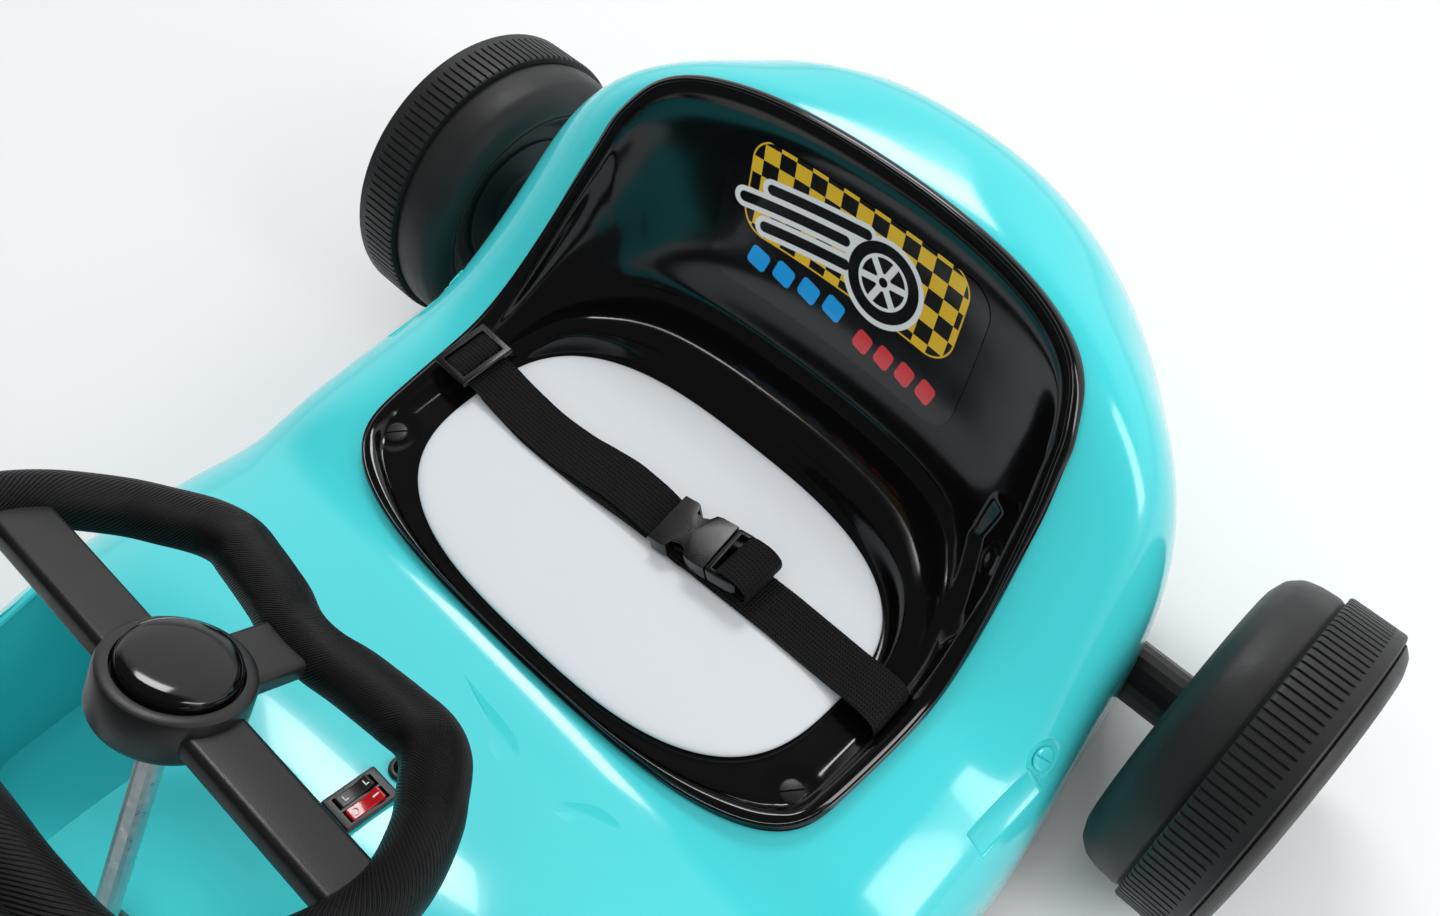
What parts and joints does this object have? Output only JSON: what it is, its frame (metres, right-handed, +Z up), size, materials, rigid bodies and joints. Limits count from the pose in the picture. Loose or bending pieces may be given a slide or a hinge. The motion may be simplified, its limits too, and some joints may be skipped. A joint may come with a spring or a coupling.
{
  "type": "kids electric go-kart",
  "caption": "Small ride-on electric go-kart for a toddler: turquoise shell, black seat with a lap belt, steering wheel, pedal and black wheels.",
  "frame": {"origin": "centre of the bounding box at ground level", "axes": "+Y towards the tail, +X towards the driver's left, +Z up"},
  "size_m": [0.614, 0.97, 0.3611],
  "materials": {
    "turquoise_plastic": "gloss",
    "gloss_black_plastic": "gloss",
    "satin_black_plastic": "satin",
    "black_tyre": "matte",
    "pale_pad": "matte",
    "black_webbing": "matte",
    "red_plastic": "gloss",
    "zinc_steel": "satin",
    "dark_grey_case": "satin"
  },
  "bodies": {
    "chassis": {"body_shell": "turquoise_plastic", "floor_pan": "satin_black_plastic", "seat_tub": "gloss_black_plastic", "seat_pad": "pale_pad", "belt_left": "black_webbing", "belt_right": "black_webbing", "slide_adjuster": "satin_black_plastic", "buckle_socket": "satin_black_plastic", "switch_bezel": "satin_black_plastic", "charge_socket": "satin_black_plastic", "column_bush": "satin_black_plastic", "column_bracket": "satin_black_plastic", "front_beam": "satin_black_plastic", "rear_axle": "zinc_steel", "battery": "dark_grey_case", "battery_strap": "satin_black_plastic", "control_box": "satin_black_plastic", "pedal_bracket": "satin_black_plastic", "pedal_pin": "zinc_steel", "seat_screw_left": "satin_black_plastic", "shell_screw_left": "turquoise_plastic", "belt_anchor_left": "zinc_steel", "kingpin_left": "zinc_steel", "rear_axle_nut_left": "zinc_steel", "gearbox_left": "dark_grey_case", "motor_left": "zinc_steel", "seat_screw_right": "satin_black_plastic", "shell_screw_right": "turquoise_plastic", "belt_anchor_right": "zinc_steel", "kingpin_right": "zinc_steel", "rear_axle_nut_right": "zinc_steel", "gearbox_right": "dark_grey_case", "motor_right": "zinc_steel"},
    "steering": {"steering_wheel": "satin_black_plastic", "steering_column": "zinc_steel"},
    "horn": {"horn_button": "gloss_black_plastic"},
    "link": {"steering_link": "zinc_steel"},
    "pedal": {"accelerator_pedal": "satin_black_plastic"},
    "power_switch": {"power_rocker": "red_plastic"},
    "speed_switch": {"speed_rocker": "gloss_black_plastic"},
    "tongue": {"buckle_tongue": "satin_black_plastic"},
    "steer_left": {"knuckle_left": "satin_black_plastic", "front_axle_nut_left": "zinc_steel"},
    "front_left": {"front_wheel_left": "black_tyre", "front_tread_left": "black_tyre", "front_hub_cap_left": "gloss_black_plastic"},
    "rear_left": {"rear_wheel_left": "black_tyre", "rear_tread_left": "black_tyre", "rear_hub_cap_left": "gloss_black_plastic", "drive_hub_left": "satin_black_plastic"},
    "steer_right": {"knuckle_right": "satin_black_plastic", "front_axle_nut_right": "zinc_steel"},
    "front_right": {"front_wheel_right": "black_tyre", "front_tread_right": "black_tyre", "front_hub_cap_right": "gloss_black_plastic"},
    "rear_right": {"rear_wheel_right": "black_tyre", "rear_tread_right": "black_tyre", "rear_hub_cap_right": "gloss_black_plastic", "drive_hub_right": "satin_black_plastic"}
  },
  "joints": [
    {"name": "steering_turn", "type": "hinge", "parent": "chassis", "child": "steering", "pos_m": [0, 0.01, 0.306], "axis": [0, 0.5736, 0.8192], "range_deg": [-30, 30]},
    {"name": "horn_press", "type": "slide", "parent": "steering", "child": "horn", "axis": [0, -0.5736, -0.8192], "range_m": [0, 0.002], "stiffness_N_per_m": 1500},
    {"name": "link_slide", "type": "slide", "parent": "chassis", "child": "link", "axis": [-1, 0, 0], "range_m": [-0.01901, 0.01901]},
    {"name": "pedal_press", "type": "hinge", "parent": "chassis", "child": "pedal", "pos_m": [-0.094, -0.118, 0.06], "axis": [1, 0, 0], "range_deg": [0, 12], "stiffness_Nm_per_rad": 1.5, "springref_deg": -20.05},
    {"name": "power_rock", "type": "hinge", "parent": "chassis", "child": "power_switch", "pos_m": [0.02295, 0.039, 0.17476], "axis": [-1, 0, 0.0018], "range_deg": [0, 16]},
    {"name": "speed_rock", "type": "hinge", "parent": "chassis", "child": "speed_switch", "pos_m": [0.01545, 0.039, 0.17477], "axis": [-1, 0, 0.0018], "range_deg": [0, 16]},
    {"name": "tongue_slide", "type": "slide", "parent": "chassis", "child": "tongue", "axis": [1, 0, 0], "range_m": [0, 0.012], "deforming": ["belt_left"]},
    {"name": "knuckle_turn_left", "type": "hinge", "parent": "chassis", "child": "steer_left", "pos_m": [0.185, -0.265, 0.08], "axis": [0, 0, 1], "range_deg": [-20.9, 20.9]},
    {"name": "front_spin_left", "type": "hinge", "parent": "steer_left", "child": "front_left", "pos_m": [0.241, -0.265, 0.08], "axis": [1, 0, 0], "continuous": true},
    {"name": "rear_spin_left", "type": "hinge", "parent": "chassis", "child": "rear_left", "pos_m": [0.272, 0.358, 0.092], "axis": [1, 0, 0], "continuous": true},
    {"name": "knuckle_turn_right", "type": "hinge", "parent": "chassis", "child": "steer_right", "pos_m": [-0.185, -0.265, 0.08], "axis": [0, 0, 1], "range_deg": [-20.9, 20.9]},
    {"name": "front_spin_right", "type": "hinge", "parent": "steer_right", "child": "front_right", "pos_m": [-0.241, -0.265, 0.08], "axis": [1, 0, 0], "continuous": true},
    {"name": "rear_spin_right", "type": "hinge", "parent": "chassis", "child": "rear_right", "pos_m": [-0.272, 0.358, 0.092], "axis": [1, 0, 0], "continuous": true}
  ],
  "couplings": [
    {"joint": "link_slide", "follows": "steering_turn", "m_per_rad": 0.036287},
    {"joint": "knuckle_turn_left", "follows": "steering_turn", "ratio": 0.69356},
    {"joint": "knuckle_turn_right", "follows": "steering_turn", "ratio": 0.69356}
  ]
}
